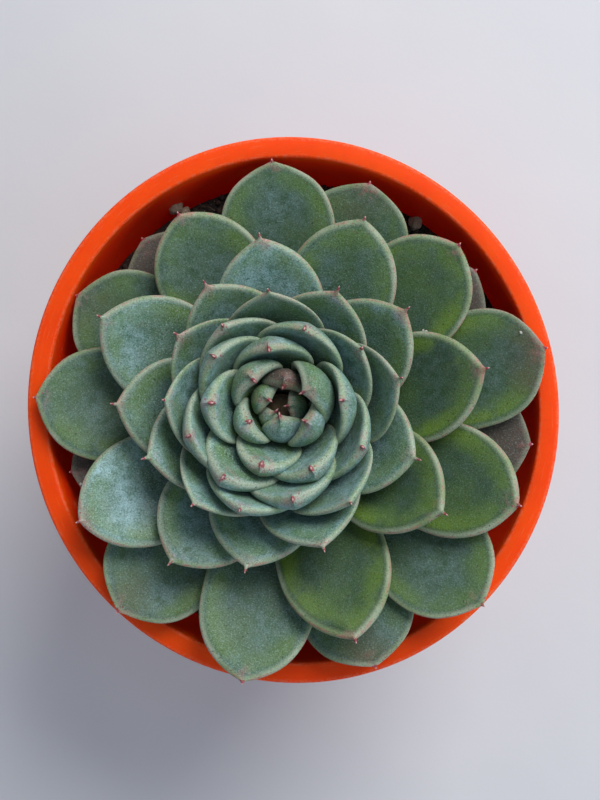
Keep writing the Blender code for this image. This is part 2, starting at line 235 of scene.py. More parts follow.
def leaf_depths(number, way, share, across, side):
    """How far each point of a leaf lies outside its bowl, in ages."""
    age = number / LEAVES
    end = np.where(way > through(WIDEST, age), np.clip(share, 0, 1), 1)
    body = BASE_THINNING + (1 - BASE_THINNING) * np.sin(math.pi * np.minimum(way, 0.5))
    body = body * (1 - through(THINNING, age) * np.clip(way, 0, 1) ** 2)
    thick = through(THICKNESS, age) / 2 * body * end ** through(TAPER, age)
    keel = 1 + through(KEEL, age) * (1 - np.abs(across)) * (side > 0)
    depth = side * thick[:, None] * keel
    depth = depth + through(CUPPING, age) * share[:, None] ** 2 * (LEVEL - across**2)
    depth = depth - tip_curl(age, way)[:, None]
    ripple = np.array([[noise.noise(Vector((3 * w, 2 * c, number * 7.3))) for c in across[0]] for w in way])
    return depth + RIPPLE * ripple * end[:, None]


def leaf_surface(number):
    """Rings of points over a leaf, its base and tip points, and the way of each ring."""
    length = LENGTH.get(number, 1.0)
    azimuth = math.radians(FIRST_AZIMUTH + DIVERGENCE * number + TURNED.get(number, 0))
    age = number / LEAVES
    limb = float(np.linalg.norm(plant_point(age, length, azimuth) - plant_point(age, 0, azimuth)))
    spine = float(through(SPINE_LENGTH, age)) * MM / limb
    way = leaf_rows(spine)
    theta = 2 * math.pi * np.arange(AROUND) / AROUND
    fullness = float(through(EDGE_FULLNESS, age))
    across = rounded(np.cos(theta), fullness)[None, :]
    side = rounded(np.sin(theta), fullness)[None, :]

    half_width = through(HALF_WIDTH, age) * MM
    share = leaf_shares(age, way, spine, half_width)
    radius = bowl(age, way * length)[0]
    spread = MOST_SPREAD * np.tanh(half_width * share / (radius * MOST_SPREAD))
    depth = leaf_depths(number, way, share, across, side)
    reach = (way * length)[:, None]
    points = plant_point(age + depth / LEAVES, reach, azimuth + across * spread[:, None])
    base = plant_point(age, 0, azimuth)
    tip = plant_point(age - tip_curl(age, way)[-1] / LEAVES, length * (1 + spine), azimuth)

    leaning = LEANING.get(number, 0)
    lean = leaning * MM * np.array((math.cos(azimuth), math.sin(azimuth), LEAN_DROP))
    power = LEAN_OUT_POWER if leaning > 0 else LEAN_IN_POWER
    points = points + (way**power)[:, None, None] * lean
    tip = tip + lean * (1 + spine) ** power
    return points, base, tip, way


def edge_distance(points, tip):
    """How far each point of a leaf is from its outline, in millimetres."""
    first = FIRST_OUTLINE_ROW
    line = np.concatenate((points[first:, 0], tip[None], points[: first - 1 : -1, AROUND // 2]))
    start, step = line[:-1], np.diff(line, axis=0)
    flat = points.reshape(-1, 3)
    away = flat[:, None] - start[None]
    along = np.clip((away * step).sum(-1) / np.maximum((step**2).sum(-1), 1e-14), 0, 1)
    nearest = np.linalg.norm(away - along[..., None] * step, axis=-1).min(1)
    return nearest / MM


def turns(count):
    """Evenly spaced angles of one whole turn."""
    return [2 * math.pi * i / count for i in range(count)]


def piece(name, data):
    """A piece of the visual model, from its mesh or curve. It rides on the only body."""
    obj = bpy.data.objects.new(name, data)
    bpy.context.scene.collection.objects.link(obj)
    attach(obj, "root")
    return obj


def mesh_piece(name, vertices, faces, material):
    """A smooth closed piece from its vertices and faces, with its faces turned out."""
    data = bpy.data.meshes.new(name)
    data.from_pydata([tuple(map(float, v)) for v in vertices], [], faces)
    data.polygons.foreach_set("use_smooth", [True] * len(data.polygons))
    data.materials.append(material)
    mesh = bmesh.new()
    mesh.from_mesh(data)
    bmesh.ops.recalc_face_normals(mesh, faces=mesh.faces)
    mesh.to_mesh(data)
    mesh.free()
    return piece(name, data)


def lump_piece(name, mesh, material, smooth):
    """A piece from a bmesh of lumps, which is freed."""
    for face in mesh.faces:
        face.smooth = smooth
    data = bpy.data.meshes.new(name)
    mesh.to_mesh(data)
    mesh.free()
    data.materials.append(material)
    return piece(name, data)


def closed_rings(count, rows, first, last):
    """Faces of a skin over rows of count points, closed by the points numbered first and last."""
    faces = []
    for row in range(rows - 1):
        for i in range(count):
            j = (i + 1) % count
            faces.append((row * count + i, row * count + j, (row + 1) * count + j, (row + 1) * count + i))
    for i in range(count):
        j = (i + 1) % count
        top = (rows - 1) * count
        faces.append((j, i, first))
        faces.append((top + i, top + j, last))
    return faces


def paint(obj, name, values):
    """A number at each vertex, which the leaf material reads."""
    layer = obj.data.attributes.new(name, "FLOAT", "POINT")
    layer.data.foreach_set("value", np.asarray(values, np.float32).ravel())


# How leaves look from the bud to the oldest, and which ones differ: the powdery bloom on them, the green
# that shows through it, and the brown of old age. The bloom of single leaves is partly painted light: the
# palest of them are also a painted highlight on leaves that face the light, and the least powdery also
# painted shade on leaves turned away from it.
BLOOM = [0.6, 0.92, 0.92, 0.70, 0.42, 0.34, 0.24]
GREEN = [0.8, 0.6, 0.55, 0.75, 0.8, 0.7, 0.4]
BLOOM_VARIATION = 0.22
# The bloom of these single leaves is part real powder and part painted light: high values are a painted
# highlight and low values painted shade.
BLOOM_AND_PAINTED_LIGHT_OF = {42: 0.95, 39: 0.8, 36: 0.92, 29: 0.88, 37: 0.65, 32: 0.75, 34: 0.6, 31: 0.6, 40: 0.12}
BLOOM_AND_PAINTED_LIGHT_OF |= {35: 0.15, 38: 0.15, 43: 0.15, 46: 0.15, 51: 0.2, 48: 0.25}
GREEN_OF = {46: 1.0, 41: 0.9, 40: 1.0, 38: 1.0, 51: 0.9, 43: 0.9, 35: 0.9, 33: 0.8, 45: 0.7, 49: 0.6}
BROWN_OF = {2: 0.6, 50: 0.25, 51: 0.35, 52: 0.2, 53: 0.3, 54: 0.25, 55: 0.95, 56: 0.8, 57: 0.75, 59: 0.9}
BROWN_OF |= {60: 0.95}
FAR_FROM_EDGE = 9


def leaf_bloom(number, age):
    varied = float(through(BLOOM, age)) * (1 + BLOOM_VARIATION * math.sin(2.4 * number))
    return BLOOM_AND_PAINTED_LIGHT_OF.get(number, varied)


def make_leaf(number, name, material):
    """One leaf, with the numbers that its material reads painted on its vertices."""
    points, base, tip, way = leaf_surface(number)
    vertices = np.concatenate((points.reshape(-1, 3), base[None], tip[None]))
    count = ROWS * AROUND
    obj = mesh_piece(name, vertices, closed_rings(AROUND, ROWS, count, count + 1), material)
    age = min(max(number / LEAVES, 0), 1)
    paint(obj, "way", np.append(np.repeat(way, AROUND), (0, 1)))
    paint(obj, "edge", np.append(edge_distance(points, tip), (FAR_FROM_EDGE, 0)))
    paint(obj, "tip", np.linalg.norm(vertices - tip, axis=1) / MM)
    paint(obj, "age", np.full(count + 2, age))
    paint(obj, "bloom", np.full(count + 2, leaf_bloom(number, age)))
    paint(obj, "green", np.full(count + 2, GREEN_OF.get(number, float(through(GREEN, age)))))
    paint(obj, "brown", np.full(count + 2, BROWN_OF.get(number, 0.0)))
    return obj


# ---------------------------------------------------------------- materials
FLESH_DARK = (0.017, 0.044, 0.006)
FLESH_LIGHT = (0.045, 0.092, 0.014)
POWDER_THIN = (0.115, 0.235, 0.200)
POWDER_THICK = (0.34, 0.54, 0.57)
YELLOW_GREEN = (0.16, 0.27, 0.020)
# The dark green below is painted shade near the leaf bases.
BASE_SHADE_GREEN = (0.014, 0.040, 0.006)
WITHERED = (0.085, 0.066, 0.052)
MARGIN_GREEN = (0.27, 0.36, 0.15)
MARGIN_PALE = (0.44, 0.50, 0.36)
OUTLINE_PINK = (0.42, 0.16, 0.14)
BLUSH = (0.40, 0.14, 0.13)
CRIMSON = (0.27, 0.012, 0.04)
SPINE_POINT = (0.72, 0.42, 0.38)
SCAR = (0.035, 0.03, 0.03)
FRECKLE = (0.25, 0.02, 0.05)
DUST_PALE = (0.42, 0.60, 0.60)
DUST_DARK = (0.016, 0.036, 0.014)
SPOT_SPACING = 1.15 * MM
POT_ORANGE = (0.90, 0.060, 0.0005)
POT_BRIGHT_ORANGE = (0.98, 0.078, 0.001)
# The red below is painted shade for the pot's inner wall.
POT_SHADE_RED = (1.0, 0.030, 0.001)
# The pale orange below is a painted highlight on the lip's edges.
POT_EDGE_HIGHLIGHT = (0.90, 0.34, 0.20)
POT_SCUFF = (0.88, 0.28, 0.13)
POT_GRIME = (0.30, 0.10, 0.05)
MINERAL = (0.45, 0.38, 0.30)
BARK_LIGHT = (0.23, 0.16, 0.085)
BARK_DARK = (0.09, 0.055, 0.03)
BARK_GREY = (0.30, 0.27, 0.16)
PAPER_COOL = (0.58, 0.59, 0.62)
PAPER_WARM = (0.66, 0.66, 0.67)


def new_material(name):
    """A material with a shader, and its node tree."""
    material = bpy.data.materials.new(name)
    material.use_nodes = True
    return material, material.node_tree


def add(tree, kind, inputs, output=0, **settings):
    """A new node, its inputs set to values or linked to sockets. Returns one of its outputs."""
    node = tree.nodes.new("ShaderNode" + kind)
    for name, value in settings.items():
        setattr(node, name, value)
    for name, value in inputs.items():
        if isinstance(value, bpy.types.NodeSocket):
            tree.links.new(value, node.inputs[name])
        else:
            node.inputs[name].default_value = value
    return node.outputs[output]


def math_node(tree, operation, a, b=0.0):
    return add(tree, "Math", {0: a, 1: b}, operation=operation)


def times(tree, a, b):
    return math_node(tree, "MULTIPLY", a, b)


def plus(tree, a, b):
    return math_node(tree, "ADD", a, b)


def minus(tree, a, b):
    return math_node(tree, "SUBTRACT", a, b)


def mask(tree, value, low, high):
    """0 where the value is low and 1 where it is high, smooth between them. Low may be the larger."""
    inputs = {"Value": value, "From Min": low, "From Max": high}
    return add(tree, "MapRange", inputs, interpolation_type="SMOOTHSTEP")


def mixed(tree, share, a, b):
    """Colour a turned to colour b by a share."""
    colours = {}
    for key, colour in ((6, a), (7, b)):
        colours[key] = colour if isinstance(colour, bpy.types.NodeSocket) else (*colour, 1)
    return add(tree, "Mix", {0: share, **colours}, output=2, data_type="RGBA")


def read(tree, name):
    """A number painted on the vertices of a leaf."""
    return add(tree, "Attribute", {}, output=2, attribute_name=name)


def place(tree):
    """The place of a point on the object, in metres."""
    return add(tree, "TexCoord", {}, output=3)


def cloud(tree, vector, size, detail=2.0, rough=0.5):
    """Noise from 0 to 1 whose blobs are about size metres wide."""
    inputs = {"Vector": vector, "Scale": 1 / size, "Detail": detail, "Roughness": rough}
    return add(tree, "TexNoise", inputs)


def cells(tree, vector, size, output=0):
    """Cells about size metres wide: the distance from the nearest middle, or as output 1 its colour."""
    return add(tree, "TexVoronoi", {"Vector": vector, "Scale": 1 / size}, output=output)


def bumped(tree, height, distance, strength=1.0, under=None):
    """A normal that stands distance metres high where the height is 1, on top of the one under it."""
    inputs = {"Height": height, "Distance": distance, "Strength": strength}
    if under is not None:
        inputs["Normal"] = under
    return add(tree, "Bump", inputs)


def finish_material(tree, colour, roughness, normal, **sockets):
    """Links the shader. Its other sockets are named with _ for each space."""
    shader = tree.nodes["Principled BSDF"]
    tree.links.new(colour, shader.inputs["Base Color"])
    tree.links.new(roughness, shader.inputs["Roughness"])
    tree.links.new(normal, shader.inputs["Normal"])
    for name, value in sockets.items():
        shader.inputs[name.replace("_", " ")].default_value = value


def leaf_ground(tree, bloom, patches, fine_patches, speckle):
    """Green flesh under a powdery bloom, which is rubbed off in patches."""
    flesh = mixed(tree, mask(tree, patches, 0.35, 0.68), FLESH_DARK, FLESH_LIGHT)
    powder = mixed(tree, mask(tree, fine_patches, 0.3, 0.7), POWDER_THIN, POWDER_THICK)
    patchy = plus(tree, times(tree, patches, 0.6), times(tree, fine_patches, 0.4))
    kept = mask(tree, patchy, 0.62, 0.42)
    cover = times(tree, bloom, plus(tree, 0.38, times(tree, kept, 0.62)))
    dusted = times(tree, cover, mask(tree, speckle, 0.36, 0.56))
    cover = plus(tree, times(tree, cover, 0.62), times(tree, dusted, 0.38))
    return mixed(tree, cover, flesh, powder)


def leaf_green(tree, colour, edge, green, patches):
    """Green and yellow-green show through towards the base and inside the margin, and the base is painted
    darker as painted shade.
    """
    way = read(tree, "way")
    inside = times(tree, mask(tree, edge, 0.9, 2.2), mask(tree, edge, 7.5, 2.4))
    low = mask(tree, way, 0.95, 0.45)
    glow = times(tree, times(tree, inside, green), plus(tree, 0.35, times(tree, low, 0.65)))
    glow = times(tree, glow, mask(tree, patches, 0.26, 0.54))
    colour = mixed(tree, glow, colour, YELLOW_GREEN)
    # Painted shade: leaves are painted darker towards their base, where the leaves above shade them.
    return mixed(tree, times(tree, mask(tree, way, 0.8, 0.3), 0.7), colour, BASE_SHADE_GREEN)


def leaf_ageing(tree, colour, tip, brown, patches):
    """Old leaves turn brown from the tip and the margin inwards."""
    spread = plus(tree, times(tree, patches, 0.5), times(tree, mask(tree, tip, 22, 3), 0.5))
    spread = plus(tree, spread, times(tree, brown, 0.5))
    faded = times(tree, mask(tree, brown, 0.0, 0.5), mask(tree, spread, 0.6, 1.0))
    return mixed(tree, faded, colour, WITHERED)


def leaf_margin(tree, colour, edge, brown, patches, fine_patches):
    """A pale margin with a thin pinkish outline, which is plainer on older leaves."""
    band = times(tree, mask(tree, edge, 1.6, 0.3), minus(tree, 0.62, times(tree, brown, 0.45)))
    margin = mixed(tree, mask(tree, patches, 0.35, 0.65), MARGIN_GREEN, MARGIN_PALE)
    colour = mixed(tree, band, colour, margin)
    outline = times(tree, mask(tree, edge, 0.5, 0.1), mask(tree, fine_patches, 0.4, 0.62))
    older = times(tree, mask(tree, read(tree, "age"), 0.25, 0.6), 0.45)
    return mixed(tree, times(tree, outline, plus(tree, 0.1, older)), colour, OUTLINE_PINK)


def leaf_tip(tree, colour, tip, fine_patches, speckle):
    """Blush and crimson at the tip, and a pale point on the spine."""
    blush = times(tree, mask(tree, tip, 6.0, 1.0), mask(tree, fine_patches, 0.42, 0.66))
    colour = mixed(tree, times(tree, blush, 0.45), colour, BLUSH)
    ragged = plus(tree, tip, times(tree, minus(tree, speckle, 0.5), 1.6))
    colour = mixed(tree, times(tree, mask(tree, ragged, 1.25, 0.75), 0.92), colour, CRIMSON)
    return mixed(tree, times(tree, mask(tree, tip, 0.5, 0.15), 0.75), colour, SPINE_POINT)


def leaf_spots(tree, colour, where, tip, patches):
    """Small dark scars, and crimson dots near the tip. Returns the colour and where the scars are."""
    dots = cells(tree, where, SPOT_SPACING)
    chosen = add(tree, "SeparateColor", {0: cells(tree, where, SPOT_SPACING, output=1)})
    scar = times(tree, mask(tree, dots, 0.24, 0.1), mask(tree, chosen, 0.80, 0.86))
    scar = times(tree, scar, mask(tree, patches, 0.42, 0.58))
    colour = mixed(tree, times(tree, scar, 0.8), colour, SCAR)
    freckles = times(tree, mask(tree, dots, 0.3, 0.14), mask(tree, chosen, 0.42, 0.32))
    freckles = times(tree, freckles, mask(tree, tip, 5.5, 2.0))
    return mixed(tree, times(tree, freckles, 0.7), colour, FRECKLE), scar


def leaf_dust(tree, colour, bloom, grit):
    """Fine pale and dark grains all over."""
    pale = times(tree, mask(tree, grit, 0.54, 0.70), plus(tree, 0.06, times(tree, bloom, 0.5)))
    colour = mixed(tree, pale, colour, DUST_PALE)
    return mixed(tree, times(tree, mask(tree, grit, 0.46, 0.30), 0.6), colour, DUST_DARK)


def leaf_material():
    material, tree = new_material("leaf_skin")
    where = place(tree)
    painted = ("edge", "tip", "bloom", "green", "brown")
    edge, tip, bloom, green, brown = (read(tree, name) for name in painted)
    patches = cloud(tree, where, 9 * MM, 3)
    fine_patches = cloud(tree, where, 2.6 * MM, 3, 0.6)
    speckle = cloud(tree, where, 0.42 * MM, 2, 0.7)
    grit = cloud(tree, where, 0.36 * MM, 2, 0.7)

    colour = leaf_ground(tree, bloom, patches, fine_patches, speckle)
    colour = leaf_green(tree, colour, edge, green, patches)
    colour = leaf_ageing(tree, colour, tip, brown, patches)
    colour = leaf_margin(tree, colour, edge, brown, patches, fine_patches)
    colour = leaf_tip(tree, colour, tip, fine_patches, speckle)
    colour, scar = leaf_spots(tree, colour, where, tip, patches)
    colour = leaf_dust(tree, colour, bloom, grit)

    rough = plus(tree, 0.40, times(tree, speckle, 0.22))
    rough = minus(tree, rough, times(tree, scar, 0.1))
    ripple = bumped(tree, fine_patches, 0.25 * MM, 0.6)
    normal = bumped(tree, grit, 0.07 * MM, 0.8, ripple)
    finish_material(
        tree, colour, rough, normal, Sheen_Weight=0.05, Sheen_Roughness=0.5, Specular_IOR_Level=0.35,
        Subsurface_Weight=0.08, Subsurface_Scale=0.0025,
    )
    return material


def pot_edge_highlight_and_wear(tree, colour, radius, z, rings, dust):
    """A painted highlight along the edges of the lip, broken into dashes; fine scuffs around the pot; and
    specks of grime, with the pot painted darker towards the foot.
    """
    from_outer = math_node(tree, "ABSOLUTE", minus(tree, radius, RIM_RADIUS - 0.4 * MM))
    from_inner = math_node(tree, "ABSOLUTE", minus(tree, radius, RIM_RADIUS - LIP_WIDTH + 0.3 * MM))
    outer_edge = mask(tree, from_outer, 0.9 * MM, 0.2 * MM)
    inner_edge = mask(tree, from_inner, 0.6 * MM, 0.1 * MM)
    on_lip = mask(tree, z, 98.6 * MM, 99.6 * MM)
    # Painted highlight: a paler line along both rounded edges of the lip.
    edge_highlight = times(tree, times(tree, plus(tree, outer_edge, inner_edge), on_lip), mask(tree, dust, 0.4, 0.62))
    colour = mixed(tree, times(tree, edge_highlight, 0.22), colour, POT_EDGE_HIGHLIGHT)
    colour = mixed(tree, times(tree, mask(tree, rings, 0.60, 0.72), 0.22), colour, POT_SCUFF)
    # Darker towards the foot.
    low = times(tree, mask(tree, z, 9 * MM, 0.0), 0.3)
    return mixed(tree, times(tree, plus(tree, 0.10, low), mask(tree, dust, 0.5, 0.68)), colour, POT_GRIME)


def pot_material():
    material, tree = new_material("pot_plastic")
    where = place(tree)
    oval = {"Vector": where, "Rotation": (0, 0, OVAL_AZIMUTH), "Scale": (1 + OVAL, 1 - OVAL, 1)}
    parts = tree.nodes.new("ShaderNodeSeparateXYZ")
    tree.links.new(add(tree, "Mapping", oval, vector_type="TEXTURE"), parts.inputs[0])
    x, y, z = parts.outputs
    radius = math_node(tree, "SQRT", plus(tree, times(tree, x, x), times(tree, y, y)))
    angle = math_node(tree, "ARCTAN2", y, x)
    rings_at = add(tree, "CombineXYZ", {0: radius, 1: times(tree, angle, 0.004), 2: times(tree, z, 0.15)})
    rings = cloud(tree, rings_at, 0.35 * MM, 3, 0.6)
    mottle = cloud(tree, where, 14 * MM, 3)
    dust = cloud(tree, where, 0.7 * MM, 3, 0.6)
    colour = mixed(tree, mask(tree, mottle, 0.3, 0.7), POT_ORANGE, POT_BRIGHT_ORANGE)

    # Painted shade: the inner wall, which lies out of the light, is painted redder.
    slope = (inner_radius(POT_HEIGHT) - inner_radius(0)) / POT_HEIGHT
    from_wall = minus(tree, radius, times(tree, z, slope))
    inner = mask(tree, from_wall, inner_radius(0) + 1.2 * MM, inner_radius(0) + 0.8 * MM)
    shaded_well = times(tree, mask(tree, z, 98.9 * MM, 96.5 * MM), inner)
    colour = mixed(tree, shaded_well, colour, POT_SHADE_RED)
    colour = pot_edge_highlight_and_wear(tree, colour, radius, z, rings, dust)

    scuffs = times(tree, mask(tree, rings, 0.60, 0.72), 0.18)
    rough = plus(tree, 0.40, plus(tree, scuffs, times(tree, dust, 0.12)))
    normal = bumped(tree, rings, 0.03 * MM, 0.6, bumped(tree, mottle, 0.25 * MM, 0.4))
    finish_material(
        tree, colour, rough, normal, IOR=1.49, Specular_IOR_Level=0.15,
        Subsurface_Weight=0.5, Subsurface_Scale=0.005,
    )
    return material


def soil_material(name, dark, light, grain, pale_share=0.0):
    """Earth, crumbs or fibres: two browns, with grain of a size, and pale mineral specks."""
    material, tree = new_material(name)
    where = place(tree)
    coarse = cloud(tree, where, grain * 4, 4, 0.65)
    fine = cloud(tree, where, grain, 3, 0.7)
    colour = mixed(tree, mask(tree, coarse, 0.35, 0.7), dark, light)
    brightest = tuple(2.2 * c for c in light)
    colour = mixed(tree, times(tree, mask(tree, fine, 0.55, 0.75), 0.5), colour, brightest)
    specks = times(tree, mask(tree, cells(tree, where, grain * 2), 0.22, 0.1), pale_share)
    colour = mixed(tree, specks, colour, MINERAL)
    rough = plus(tree, 0.72, times(tree, fine, 0.25))
    normal = bumped(tree, fine, grain * 0.5, 0.9, bumped(tree, coarse, grain * 1.5, 0.7))
    finish_material(tree, colour, rough, normal)
    return material


def stem_material():
    """Bark with the scars of fallen leaves."""
    material, tree = new_material("stem_bark")
    where = place(tree)
    stretched = add(tree, "Mapping", {"Vector": where, "Scale": (1, 1, 2.2)})
    scales = cells(tree, stretched, 3.2 * MM)
    fine = cloud(tree, where, 0.6 * MM, 4, 0.6)
    colour = mixed(tree, mask(tree, scales, 0.2, 0.7), BARK_LIGHT, BARK_DARK)
    colour = mixed(tree, times(tree, mask(tree, fine, 0.5, 0.7), 0.5), colour, BARK_GREY)
    rough = plus(tree, 0.65, times(tree, fine, 0.25))
    normal = bumped(tree, fine, 0.15 * MM, 0.8, bumped(tree, scales, 0.6 * MM, 0.8))
    finish_material(tree, colour, rough, normal)
    return material


def floor_material():
    material, tree = new_material("floor_paper")
    where = place(tree)
    soft = cloud(tree, where, 90 * MM, 3)
    fine = cloud(tree, where, 1.5 * MM, 3)
    colour = mixed(tree, soft, PAPER_COOL, PAPER_WARM)
    rough = plus(tree, 0.6, times(tree, fine, 0.2))
    normal = bumped(tree, fine, 0.05 * MM, 0.5, bumped(tree, soft, 3 * MM, 0.35))
    finish_material(tree, colour, rough, normal)
    return material


# ---------------------------------------------------------------- pot
def arc(centre, radius, start, end, points):
    """Points of a rounding in the pot's section, between two angles in degrees."""
    angles = [math.radians(start + (end - start) * i / (points - 1)) for i in range(points)]
    return [(centre[0] + radius * math.cos(a), centre[1] + radius * math.sin(a)) for a in angles]


def inner_radius(height):
    """The radius of the pot's inner wall at a height."""
    top = RIM_RADIUS - LIP_WIDTH
    share = (height - FLOOR_THICKNESS) / (POT_HEIGHT - FLOOR_THICKNESS)
    return INNER_FLOOR_RADIUS + (top - INNER_FLOOR_RADIUS) * share


def pot_profile():
    """The pot's section as radius and height, from the middle of its floor over the lip to its underside."""
    skirt_bottom = POT_HEIGHT - SKIRT_HEIGHT
    groove_top = POT_HEIGHT - LIP_THICKNESS
    skirt_radius = RIM_RADIUS - SKIRT_TAPER
    bead = SKIRT_EDGE_ROUND
    foot_radius = inner_radius(FOOT_ROUND) + WALL_THICKNESS - FOOT_ROUND
    floor_round = (INNER_FLOOR_RADIUS - INNER_FLOOR_ROUND, FLOOR_THICKNESS + INNER_FLOOR_ROUND)
    return [
        (0, FLOOR_THICKNESS),
        *arc(floor_round, INNER_FLOOR_ROUND, -90, -8, 6),
        *arc((RIM_RADIUS - LIP_WIDTH + LIP_ROUND, POT_HEIGHT - LIP_ROUND), LIP_ROUND, 180, 90, 7),
        *arc((RIM_RADIUS - LIP_ROUND, POT_HEIGHT - LIP_ROUND), LIP_ROUND, 90, 0, 7),
        *arc((skirt_radius - bead, skirt_bottom + bead), bead, 0, -90, 5),
        *arc((skirt_radius - SKIRT_THICKNESS + bead, skirt_bottom + bead), bead, -90, -180, 5),
        (RIM_RADIUS - SKIRT_THICKNESS - bead, groove_top - bead),
        (RIM_RADIUS - SKIRT_THICKNESS - 2 * bead, groove_top),
        (inner_radius(groove_top) + WALL_THICKNESS, groove_top),
        *arc((foot_radius, FOOT_ROUND), FOOT_ROUND, 0, -90, 7),
        (0, 0),
    ]


def turned_pot():
    """The pot without drain holes: its section, turned around and stretched to the oval by modifiers."""
    mesh = bmesh.new()
    points = [mesh.verts.new((radius, 0, height)) for radius, height in pot_profile()]
    for a, b in zip(points, points[1:]):
        mesh.edges.new((a, b))
    data = bpy.data.meshes.new("pot_section")
    mesh.to_mesh(data)
    mesh.free()
    pot = bpy.data.objects.new("pot_section", data)
    bpy.context.scene.collection.objects.link(pot)
    screw = pot.modifiers.new("Turn", "SCREW")
    screw.axis = "Z"
    screw.steps = screw.render_steps = POT_STEPS
    screw.use_merge_vertices = True
    screw.merge_threshold = 0.00001
    screw.use_smooth_shade = True
    pot.rotation_euler.z = OVAL_AZIMUTH
    pot.scale = ((1 + OVAL) * OVAL_FIT, (1 - OVAL) * OVAL_FIT, 1)
    return pot


def drain_cutters(pot):
    """Cylinders that cut the drain holes into the pot's floor."""
    cutters = []
    for index in range(DRAIN_HOLES):
        angle = 2 * math.pi * (index + 0.5) / DRAIN_HOLES
        centre = Vector((DRAIN_CIRCLE * math.cos(angle), DRAIN_CIRCLE * math.sin(angle), 0))
        bpy.ops.mesh.primitive_cylinder_add(
            vertices=40, radius=DRAIN_RADIUS, depth=4 * FLOOR_THICKNESS, location=centre
        )
        cutters.append(bpy.context.object)
        cut = pot.modifiers.new("Cut", "BOOLEAN")
        cut.object = cutters[-1]
    return cutters


def make_pot(material):
    pot = turned_pot()
    pot.data.materials.append(material)
    cutters = drain_cutters(pot)
    made = bpy.data.meshes.new_from_object(pot.evaluated_get(bpy.context.evaluated_depsgraph_get()))
    made.transform(pot.matrix_world)
    for obj in (pot, *cutters):
        bpy.data.objects.remove(obj)
    shell = piece("pot_shell", made)
    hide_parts("pot")


# ---------------------------------------------------------------- soil
def soil_level(x, y):
    """The height of the bumpy top of the earth."""
    bumps = noise.noise(Vector((x, y, 0)) * 60) + 0.5 * noise.noise(Vector((x, y, 9 * MM)) * 190)
    return SOIL_HEIGHT + 0.5 * MM + 1.1 * MM * bumps


def soil_rings():
    """Rings of points over the earth: its foot, its side, and then its top from the pot to the middle."""
    side = inner_radius(SOIL_HEIGHT) - SOIL_GAP
    foot = SOIL_FOOT_RADIUS
    angles = turns(SOIL_AROUND)
    rings = [[(foot * math.cos(a), foot * math.sin(a), SOIL_BOTTOM) for a in angles]]
    rings.append([(side * math.cos(a), side * math.sin(a), SOIL_HEIGHT - 1.5 * MM) for a in angles])
    for share in np.linspace(0.998, 0.03, SOIL_TOP_RINGS):
        ring = []
        edge_drop = SOIL_EDGE_DROP if share > 0.99 else 0
        for a in angles:
            x, y = side * share * math.cos(a), side * share * math.sin(a)
            grit = noise.fractal(Vector((x, y, 0.03)) * 420, 0.8, 2.2, 3)
            ring.append((x, y, soil_level(x, y) + 0.55 * MM * grit - edge_drop))
        rings.append(ring)
    return rings


def make_soil(material):
    """The earth: a bumpy top, and a plain side that the pot hides."""
    rings = soil_rings()
    vertices = [point for ring in rings for point in ring] + [(0, 0, SOIL_BOTTOM), (0, 0, soil_level(0, 0))]
    faces = closed_rings(SOIL_AROUND, len(rings), len(vertices) - 2, len(vertices) - 1)
    soil = mesh_piece("soil_bed", vertices, faces, material)
    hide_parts("soil")


def lump(mesh, centre, size, seed, squash=0.75, detail=1):
    """Adds an irregular lump to a bmesh."""
    made = bmesh.ops.create_icosphere(mesh, subdivisions=detail, radius=1.0)["verts"]
    for vertex in made:
        swell = 1 + 0.45 * noise.noise(vertex.co * 1.4 + Vector((seed * 3.7, seed * 1.3, seed)))
        vertex.co = Vector(centre) + Vector((vertex.co.x, vertex.co.y, vertex.co.z * squash)) * swell * size


def make_crumbs(material, light_material):
    """Loose crumbs of earth over the top, and paler mineral grains among them."""
    draw = np.random.default_rng(57)
    side = inner_radius(SOIL_HEIGHT)
    for name, stuff, many, small, large in (
        ("soil_crumbs", material, 1500, 0.35, 1.25),
        ("soil_grains", light_material, 70, 0.3, 0.8),
    ):
        mesh = bmesh.new()
        for index in range(many):
            angle = draw.uniform(0, 2 * math.pi)
            size = draw.uniform(small, large) ** 1.5 * MM
            radius = (side - 1.1 * size) * math.sqrt(draw.uniform(0.35, 1.0))
            x, y = radius * math.cos(angle), radius * math.sin(angle)
            lump(mesh, (x, y, soil_level(x, y) + 0.3 * size), size, index * 0.61)
        lump_piece(name, mesh, stuff, smooth=True)


def make_fibres(material):
    """Thin dry root fibres lying on the earth."""
    draw = np.random.default_rng(11)
    side = inner_radius(SOIL_HEIGHT)
    reach = side - 0.6 * MM
    step = 0.9 * MM
    curve = bpy.data.curves.new("soil_fibres", "CURVE")
    curve.dimensions = "3D"
    curve.bevel_depth = FIBRE_RADIUS
    curve.bevel_resolution = 1
    curve.use_fill_caps = True
    for _ in range(FIBRES):
        angle, heading = draw.uniform(0, 2 * math.pi, 2)
        radius = (side - 3 * MM) * math.sqrt(draw.uniform(0.45, 1.0))
        x, y = radius * math.cos(angle), radius * math.sin(angle)
        spline = curve.splines.new("POLY")
        spline.points.add(5)
        for point in spline.points:
            lift = draw.uniform(0.3, 1.3) * MM
            point.co = (x, y, soil_level(x, y) + lift, 1)
            heading += draw.uniform(-0.6, 0.6)
            x += step * math.cos(heading)
            y += step * math.sin(heading)
            away = math.hypot(x, y)
            if away > reach:
                x, y = x * reach / away, y * reach / away
    curve.materials.append(material)
    piece("soil_fibres", curve)


# Where loose stones lie on the earth and grains of grit on the leaves: x, y and size in millimetres.
PUMICE = {"pumice_1": ((-29.8, 50.6, 1.9), (-27.4, 49.4, 1.6)), "pumice_2": ((30.4, 46.6, 1.7),)}
LEAF_GRIT = ((31.6, 18.6, 0.42), (30.9, 18.9, 0.34), (53.5, 18.2, 0.4), (-51.5, -18.0, 0.4))


